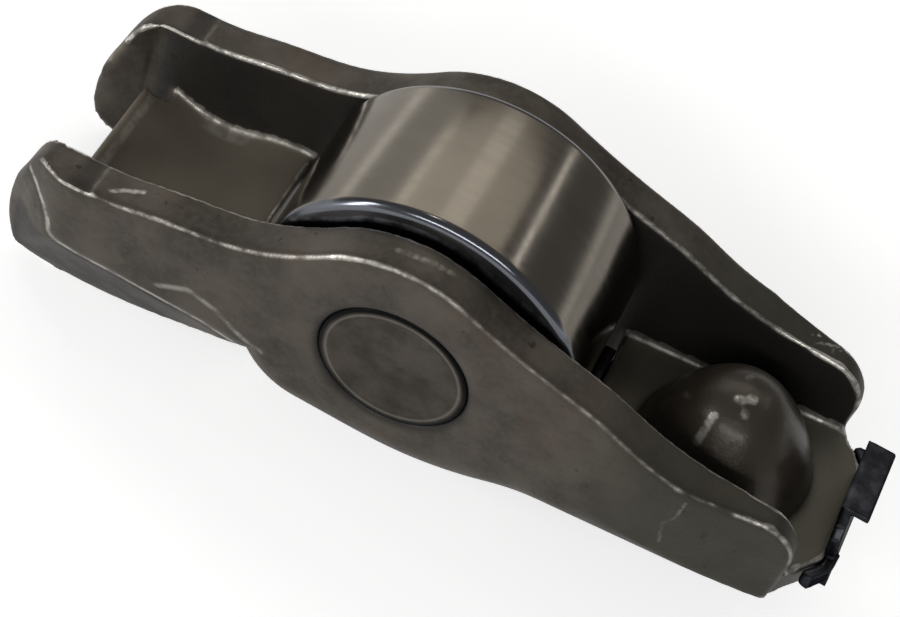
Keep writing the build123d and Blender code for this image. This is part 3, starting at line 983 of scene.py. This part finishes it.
def floor_highlights(x, y, z, facing_up):
    """Painted highlights on the pallet and the web, and in their corners with the walls.
    """
    aside = np.abs(y)
    low = z < -3
    lip = smoothstep(x, *PALLET_LIP) * (aside < RIM_HALF_WIDTH)
    lip *= (facing_up > 0.3) * low
    glow_x, glow_y = PALLET_GLOW
    glow = smoothstep(np.abs(y - glow_y), 0.9, 0.2)
    glow *= smoothstep(np.abs(x - glow_x), 2.6, 0.8) * (facing_up > 0.5) * low
    corner = smoothstep(np.abs(aside - CORNER_Y), 0.22, 0.05) * (facing_up > 0.15)
    by_web = corner * (x > WEB_X) * (np.abs(z - web_height(x)) < 0.7)
    by_pallet = corner * within(x, *PALLET_CORNER) * (z < -2.5)
    return np.maximum.reduce(
        [LIP_LINE * lip, GLOW_LINE * glow, by_web, PALLET_CORNER_LINE * by_pallet]
    )


def shade_shares(x, y, z, normals, seat):
    """How deep the painted shade lies: inside the walls, underneath, in seats and hollows.
    """
    aside = np.abs(y)
    inner = smoothstep(np.abs(normals[:, 1]), *UPRIGHT) * (aside < HALF_GAP + 0.15)
    inner *= smoothstep(aside, HALF_GAP - 0.5, HALF_GAP - 0.2)
    inner *= smoothstep(x, -20.3, -19.3) * np.where(y > 0, FAR_WALL_SHADE, NEAR_WALL_SHADE)
    under = UNDERSIDE_SHADE * smoothstep(-normals[:, 2], *UNDER)
    hollow = smoothstep(z, -4.4, -4.8) * smoothstep(x, -9.0, -13.0)
    hollow *= aside > OUTER_HALF
    ramp = smoothstep(x, -19.2, -18.7) * smoothstep(x, FORMING_STEP, -17.9)
    ramp *= (normals[:, 2] > LEVEL[0]) & (z > 0)
    return np.maximum.reduce(
        [inner, under, seat, BELOW_CREASE_SHADE * hollow, EAR_RAMP_SHADE * ramp]
    )


def mark_arm(mesh):
    """Attributes of the finish: edges worn bright and partly highlit, painted highlight
    lines, dome, matt floors and painted shade.
    """
    places = vertex_places(mesh)
    normals = vertex_normals(mesh)
    facing_up = normals[:, 2]
    x, y, z = places.T / MM
    outside = np.abs(y) > OUTER_HALF
    on_top = (facing_up > LEVEL[0]) & (z > 0)
    seat = smoothstep(np.hypot(x, z), SEAT_RADIUS + 0.12, SEAT_RADIUS - 0.05)
    seat *= np.abs(y) > SEAT_Y

    # Edges worn bright, which on the rims also stand for a painted highlight.
    edge = neighbour_mean(mesh, bulge(mesh, BULGE_ROUNDS)) / (FULL_BULGE * MM)
    set_attribute(mesh, "edge", edge * (1 - seat))
    rubbing = np.interp(x, *zip(*EDGE_WEAR_AND_SHEEN))
    rubbing[within(x, *WEB_END_EDGE) & (np.abs(y) < WEB_END_HALF_WIDTH)] = 1
    set_attribute(mesh, "rubbing", rubbing * smoothstep(facing_up, *NOT_UNDER))

    # Painted highlights: the light lines, with the scratch on the top.
    crease_highlights = np.maximum(drawn(places, GUIDE_CREASE), drawn(places, BELLY_BEND))
    lines = [
        crease_highlights * outside * (z < 0),
        drawn(places, END_BEND) * outside * (y < 0),
        top_scratch_and_highlights(places, x, y) * on_top,
        floor_highlights(x, y, z, facing_up),
    ]
    lines += [drawn(places, glint) for glint in DOME_GLINTS]
    lines = np.maximum.reduce(lines) * (1 - seat)
    set_attribute(mesh, "line", neighbour_mean(mesh, lines))

    height, away = above_web(places)
    aside = np.linalg.norm(away, axis=1)
    dome = smoothstep(aside, DOME_FOOT, DOME_FOOT - 0.6 * MM)
    dome *= smoothstep(height, 0.05 * MM, 0.35 * MM)
    set_attribute(mesh, "dome", neighbour_mean(mesh, dome, 2))
    between = np.abs(y) < FLOOR_HALF_WIDTH
    pallet = between * (facing_up > 0.3) * (x < PALLET_X) * (z < -2)
    web = between * (facing_up > 0.8) * (x > WEB_X) * (z < -1) * (1 - dome)
    set_attribute(mesh, "matt", neighbour_mean(mesh, np.maximum(pallet, web), 3))
    # Painted shade on the inner faces, undersides, seats, the hollow below the crease and
    # the ear's ramp.
    oil = shade_shares(x, y, z, normals, seat)
    set_attribute(mesh, "oil", MOST_SHADE * neighbour_mean(mesh, oil, 3))


class ROCKERARM_OT_arm(bpy.types.Operator):
    """Stamped arm, its edges eased and worn bright, with painted highlights and painted
    shade
    """

    bl_idname = "rockerarm.arm"
    bl_label = "Stamped arm"

    def execute(self, context):
        shape = context.scene.rocker_arm_shape
        arm = even_copy("arm_body", "stamped_arm", shape.grain, shape.softening)
        form_arm(arm.data)
        mark_arm(arm.data)
        material = stamped_steel(context.scene.rocker_arm_finish)
        finished(arm, "arm", "stamped_steel", material, "arm_body")
        return {"FINISHED"}


# section of the axle's end, in millimetres: (inside the flare, below the face), then
# (radius, below the face)
AXLE_NECK = 0.28
AXLE_LIP = ((0.0, 0.14), (0.05, 0.04), (0.14, 0.0))
AXLE_DISH = ((3.47, 0.0), (3.38, 0.03), (3.3, 0.08), (3.2, 0.1), (0.0, 0.1))
AXLE_SEGMENTS = 128
AXLE_SHARP = radians(50)


class ROCKERARM_OT_axle(bpy.types.Operator):
    """Axle with its dished ends staked into the walls"""

    bl_idname = "rockerarm.axle"
    bl_label = "Axle"

    def execute(self, context):
        radius = context.scene.rocker_arm_shape.axle_radius
        end = AXLE_HALF_LENGTH
        half = [(radius, 0.0), (radius, end - AXLE_NECK * MM)]
        flared = AXLE_FLARED_RADIUS
        half += [(flared - inset * MM, end - depth * MM) for inset, depth in AXLE_LIP]
        half += [(reach * MM, end - depth * MM) for reach, depth in AXLE_DISH]
        profile = [(r, -y) for r, y in reversed(half[1:])] + half
        mesh = turned_mesh("axle", profile, AXLE_SEGMENTS, hollow=False)
        mesh.set_sharp_from_angle(angle=AXLE_SHARP)
        axle = new_object("axle", mesh)
        material = axle_steel(context.scene.rocker_arm_finish)
        finished(axle, "arm", "axle_steel", material, "axle_pin")
        return {"FINISHED"}


ROLLER_EDGE_ROUND = 0.55 * MM
ROLLER_BORE_BEVEL = 0.25 * MM
ROLLER_SEGMENTS = 256
ROLLER_SHARP = radians(35)


class ROCKERARM_OT_roller(bpy.types.Operator):
    """Cam roller with rounded shoulders"""

    bl_idname = "rockerarm.roller"
    bl_label = "Roller"

    def execute(self, context):
        shape = context.scene.rocker_arm_shape
        edge, bevel, half = ROLLER_EDGE_ROUND, ROLLER_BORE_BEVEL, ROLLER_HALF_WIDTH
        bore = shape.axle_radius + 2 * (shape.needle_radius + shape.running_clearance)
        outer = ROLLER_RADIUS - edge
        profile = [(bore, bevel - half), (bore + bevel, -half)]
        profile += rounded((outer, edge - half), edge, -90)
        profile += rounded((outer, half - edge), edge, 0)
        profile += [(bore + bevel, half), (bore, half - bevel)]
        mesh = turned_mesh("roller", profile, ROLLER_SEGMENTS, hollow=True)
        mesh.set_sharp_from_angle(angle=ROLLER_SHARP)
        roller = new_object("roller", mesh)
        material = ground_steel(context.scene.rocker_arm_finish)
        finished(roller, "roller", "roller_steel", material, "roller_ring")
        return {"FINISHED"}


NEEDLE_END_CHAMFER = 0.2 * MM
NEEDLE_SIDES = 40
NEEDLE_SHARP = radians(30)


def needle_row_tree(material):
    """Geometry Nodes tree for a row of needles round an axle along Y."""
    tree = bpy.data.node_groups.new("Needle row", "GeometryNodeTree")
    new_socket = tree.interface.new_socket
    new_socket("Geometry", in_out="OUTPUT", socket_type="NodeSocketGeometry")
    for name, kind in (
        ("Needles", "NodeSocketInt"),
        ("Pitch radius", "NodeSocketFloat"),
        ("Needle radius", "NodeSocketFloat"),
        ("Half length", "NodeSocketFloat"),
        ("End chamfer", "NodeSocketFloat"),
    ):
        new_socket(name, in_out="INPUT", socket_type=kind)
    given = node(tree, "NodeGroupInput").outputs

    def calculated(operation, a, b=0.0):
        return maths(tree, operation, a, b)

    # axis of one needle: four points, the outer two at the chamfered ends
    line = node(tree, "GeometryNodeMeshLine", {"Count": 4}).outputs["Mesh"]
    index = node(tree, "GeometryNodeInputIndex").outputs["Index"]
    centred = calculated("SUBTRACT", index, 1.5)
    at_end = calculated("GREATER_THAN", calculated("ABSOLUTE", centred), 1.0)
    inside = calculated("SUBTRACT", 1.0, at_end)
    back = calculated("MULTIPLY", inside, given["End chamfer"])
    along = calculated("SUBTRACT", given["Half length"], back)
    along = calculated("MULTIPLY", calculated("SIGN", centred), along)
    place = node(tree, "ShaderNodeCombineXYZ", {"Z": along}).outputs["Vector"]
    inputs = {"Geometry": line, "Position": place}
    axis = node(tree, "GeometryNodeSetPosition", inputs).outputs["Geometry"]
    axis = node(tree, "GeometryNodeMeshToCurve", {"Mesh": axis}).outputs["Curve"]
    ring = {"Resolution": NEEDLE_SIDES, "Radius": 1.0}
    ring = node(tree, "GeometryNodeCurvePrimitiveCircle", ring).outputs["Curve"]
    inward = calculated("MULTIPLY", at_end, given["End chamfer"])
    radius = calculated("SUBTRACT", given["Needle radius"], inward)
    inputs = {"Curve": axis, "Profile Curve": ring, "Scale": radius, "Fill Caps": True}
    needle = node(tree, "GeometryNodeCurveToMesh", inputs).outputs["Mesh"]

    # the row: one needle at each point of the pitch circle, turned to lie along Y
    circle = {"Vertices": given["Needles"], "Radius": given["Pitch radius"]}
    circle = node(tree, "GeometryNodeMeshCircle", circle).outputs["Mesh"]
    inputs = {"Points": circle, "Instance": needle}
    row = node(tree, "GeometryNodeInstanceOnPoints", inputs).outputs["Instances"]
    inputs = {"Geometry": row, "Rotation": (pi / 2, 0.0, 0.0)}
    row = node(tree, "GeometryNodeTransform", inputs).outputs["Geometry"]
    real = node(tree, "GeometryNodeRealizeInstances", {"Geometry": row})
    inputs = {"Geometry": real.outputs["Geometry"], "Material": material}
    row = node(tree, "GeometryNodeSetMaterial", inputs).outputs["Geometry"]
    node(tree, "NodeGroupOutput", {"Geometry": row})
    return tree


def set_inputs(modifier, values):
    """Sets a modifier's named inputs by the identifiers of their sockets."""
    for item in modifier.node_group.interface.items_tree:
        if item.in_out == "INPUT" and item.name in values:
            modifier[item.identifier] = values.pop(item.name)
    if values:
        raise KeyError(f"the tree has no inputs named {sorted(values)}")


class ROCKERARM_OT_needles(bpy.types.Operator):
    """Full row of needles between axle and roller"""

    bl_idname = "rockerarm.needles"
    bl_label = "Needle row"

    def execute(self, context):
        shape = context.scene.rocker_arm_shape
        low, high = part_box("needle_01")
        material = needle_steel(context.scene.rocker_arm_finish)
        maker = new_object("needle_row_maker", bpy.data.meshes.new("needle_row_maker"))
        modifier = maker.modifiers.new("Needle row", "NODES")
        modifier.node_group = needle_row_tree(material)
        pitch = shape.axle_radius + shape.needle_radius + shape.running_clearance
        set_inputs(
            modifier,
            {
                "Needles": shape.needle_count,
                "Pitch radius": pitch,
                "Needle radius": shape.needle_radius,
                "Half length": (high.y - low.y) / 2,
                "End chamfer": NEEDLE_END_CHAMFER,
            },
        )
        evaluated = maker.evaluated_get(context.evaluated_depsgraph_get())
        mesh = bpy.data.meshes.new_from_object(evaluated)
        bpy.data.objects.remove(maker)
        if len(mesh.polygons) < shape.needle_count * NEEDLE_SIDES:
            raise RuntimeError("the needle row came out short")
        mesh.name = "needle_row"
        with_outward_faces(mesh).set_sharp_from_angle(angle=NEEDLE_SHARP)
        row = new_object("needle_row", mesh)
        nodes = [f"needle_{i + 1:02d}" for i in range(shape.needle_count)]
        finished(row, "needle_row", "needle_steel", material, *nodes)
        return {"FINISHED"}


# the clip's front tab and end tongue as (x, z), and how far their faces are drawn out,
# in millimetres
CLIP_SOFTENING = 2
CLIP_FACING = 0.4
CLIP_TAB = (10.2, -5.8)
CLIP_TAB_FRONT = 0.13
CLIP_TAB_BACK = 0.12
CLIP_TONGUE = (23.5, -4.3)
CLIP_TONGUE_BACK = 0.2


class ROCKERARM_OT_clip(bpy.types.Operator):
    """Blackened spring clip under the socket"""

    bl_idname = "rockerarm.clip"
    bl_label = "Retaining clip"

    def execute(self, context):
        name = "retaining_clip_dressed"
        grain = context.scene.rocker_arm_shape.clip_grain
        clip = even_copy("retaining_clip", name, grain, CLIP_SOFTENING)
        places = vertex_places(clip.data)
        facing = vertex_normals(clip.data)[:, 0]
        x, _, z = places.T / MM
        tab = (x < CLIP_TAB[0]) & (z > CLIP_TAB[1])
        tongue = (x > CLIP_TONGUE[0]) & (z > CLIP_TONGUE[1])
        places[:, 0] += CLIP_TAB_FRONT * MM * (tab & (facing > CLIP_FACING))
        places[:, 0] -= CLIP_TAB_BACK * MM * (tab & (facing < -CLIP_FACING))
        places[:, 0] -= CLIP_TONGUE_BACK * MM * (tongue & (facing < -CLIP_FACING))
        move_vertices(clip.data, places)
        material = blackened_spring_steel(context.scene.rocker_arm_finish)
        finished(clip, "arm", "spring_steel", material, "retaining_clip")
        return {"FINISHED"}


# -------------------- stage
CAMERA_PLACE = Vector((7.145, -79.337, 101.525)) * MM
CAMERA_RIGHT = Vector((0.87754, 0.40508, 0.25516))
CAMERA_FORWARD = Vector((-0.04815, 0.60480, -0.79452))
SENSOR_WIDTH = 36.0
CLIP_DISTANCES = (0.005, 20.0)

FLOOR_HALF_SPAN = 4.0
FLOOR_GAP = 0.02 * MM
HORIZON_BAND = (0.05, 0.16)
WARM_WHITE = (1.0, 0.955, 0.87)


class Lamp(NamedTuple):
    """A soft lamp: its place and size, in metres, and its power's setting."""

    name: str
    place: tuple
    size: tuple
    power: str
    turn: float = 0.0
    colour: tuple = (1.0, 1.0, 1.0)


# lamps that the roller mirrors, turned about Y so that their bands follow its axle
ROLLER_LAMPS = (
    Lamp("soft box", (-0.06, 0.215, 0.275), (0.42, 0.2), "box_power", 0.0, WARM_WHITE),
    Lamp("left wall", (-0.27, 0.218, 0.098), (0.3, 0.22), "wall_power"),
    Lamp("left half", (-0.185, 0.213, 0.25), (0.17, 0.2), "half_power"),
    Lamp("middle band", (-0.052, 0.205, 0.262), (0.075, 0.2), "band_power"),
    Lamp("side strip", (0.168, 0.215, 0.229), (0.005, 0.24), "side_power"),
)
# lamps that face the arm
FACING_LAMPS = (
    Lamp("front strip", (0.0, -0.29, 0.21), (0.34, 0.05), "strip_power"),
    Lamp("window", (-0.28, -0.18, 0.1), (0.04, 0.19), "window_power", radians(34)),
    Lamp("spot", (-0.115, 0.05, 0.33), (0.025, 0.02), "spot_power"),
)


def area_lamp(lamp, stage):
    data = bpy.data.lights.new(lamp.name, "AREA")
    data.shape = "RECTANGLE"
    data.size, data.size_y = lamp.size
    data.energy = getattr(stage, lamp.power)
    data.color = lamp.colour
    made = new_object(lamp.name, data)
    made.location = lamp.place
    return made


def studio_lamps(stage):
    across = [area_lamp(lamp, stage) for lamp in ROLLER_LAMPS]
    for made in across:
        made.rotation_euler = (0.0, atan2(made.location.x, made.location.z), 0.0)
    facing = [area_lamp(lamp, stage) for lamp in FACING_LAMPS]
    for made, lamp in zip(facing, FACING_LAMPS):
        made.rotation_euler = (-Vector(lamp.place)).to_track_quat("-Z", "Y").to_euler()
        made.rotation_euler.rotate_axis("Z", lamp.turn)
    return across + facing


def studio_room(stage):
    """Room that is pale at its horizon and dimmer above, as a studio is."""
    world = bpy.data.worlds.new("Studio room")
    world.use_nodes = True
    tree = world.node_tree
    background = tree.nodes["Background"]
    direction = node(tree, "ShaderNodeTexCoord").outputs["Generated"]
    height = axis_place(tree, direction, "Z")
    level = remap(tree, height, *HORIZON_BAND, stage.horizon_light, stage.room_light)
    rays = node(tree, "ShaderNodeLightPath").outputs
    seen = maths(tree, "MAXIMUM", rays["Is Camera Ray"], rays["Is Transmission Ray"])
    pale = remap(tree, height, *HORIZON_BAND, 1.0, 0.0)
    mirrored = product(tree, rays["Is Glossy Ray"], pale)
    level = maths(tree, "MAXIMUM", level, maths(tree, "MAXIMUM", seen, mirrored))
    wire(tree, background, {"Color": WHITE, "Strength": level})
    return world


def studio_floor(stage):
    floor_z = cad_bounds[0].z - FLOOR_GAP
    corners = [(-1, -1), (1, -1), (1, 1), (-1, 1)]
    corners = [(x * FLOOR_HALF_SPAN, y * FLOOR_HALF_SPAN, floor_z) for x, y in corners]
    mesh = bpy.data.meshes.new("floor")
    mesh.from_pydata(corners, [], [(0, 1, 2, 3)])
    mesh.materials.append(floor_paint(stage))
    return new_object("floor", mesh)


def studio_camera(stage):
    data = bpy.data.cameras.new("camera")
    data.lens = stage.lens
    data.sensor_width = SENSOR_WIDTH
    data.clip_start, data.clip_end = CLIP_DISTANCES
    camera = new_object("camera", data)
    back = -CAMERA_FORWARD.normalized()
    up = back.cross(CAMERA_RIGHT).normalized()
    turn = Matrix((up.cross(back), up, back)).transposed()
    camera.matrix_world = Matrix.Translation(CAMERA_PLACE) @ turn.to_4x4()
    return camera


class ROCKERARM_OT_stage(bpy.types.Operator):
    """Floor, room light, lamps and camera"""

    bl_idname = "rockerarm.stage"
    bl_label = "Stage"

    def execute(self, context):
        scene = context.scene
        stage = scene.rocker_arm_stage
        floor = studio_floor(stage)
        scene.world = studio_room(stage)
        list(studio_lamps(stage))
        scene.camera = studio_camera(stage)
        scene.view_settings.view_transform = "Standard"
        return {"FINISHED"}


# -------------------- panel
class ROCKERARM_PT_pieces(bpy.types.Panel):
    """Pieces of the rocker arm"""

    bl_label = "Rocker arm"
    bl_idname = "ROCKERARM_PT_pieces"
    bl_space_type = "VIEW_3D"
    bl_region_type = "UI"
    bl_category = "Rocker Arm"

    def draw(self, context):
        column = self.layout.column()
        for operator in OPERATORS:
            column.operator(operator.bl_idname)
        for group in GROUPS:
            settings = getattr(context.scene, group)
            for name in settings.__annotations__:
                column.prop(settings, name)


GROUPS = {
    "rocker_arm_shape": RockerArmShape,
    "rocker_arm_finish": RockerArmFinish,
    "rocker_arm_stage": RockerArmStage,
}
OPERATORS = (
    ROCKERARM_OT_arm,
    ROCKERARM_OT_axle,
    ROCKERARM_OT_roller,
    ROCKERARM_OT_needles,
    ROCKERARM_OT_clip,
    ROCKERARM_OT_stage,
)


def register():
    for made in (*GROUPS.values(), *OPERATORS, ROCKERARM_PT_pieces):
        bpy.utils.register_class(made)
    for name, group in GROUPS.items():
        setattr(bpy.types.Scene, name, bpy.props.PointerProperty(type=group))


def unregister():
    for name in GROUPS:
        delattr(bpy.types.Scene, name)
    for made in reversed((*GROUPS.values(), *OPERATORS, ROCKERARM_PT_pieces)):
        bpy.utils.unregister_class(made)


def main():
    register()
    bpy.ops.rockerarm.arm()
    bpy.ops.rockerarm.axle()
    bpy.ops.rockerarm.roller()
    bpy.ops.rockerarm.needles()
    bpy.ops.rockerarm.clip()
    bpy.ops.rockerarm.stage()


if __name__ == "__main__":
    main()
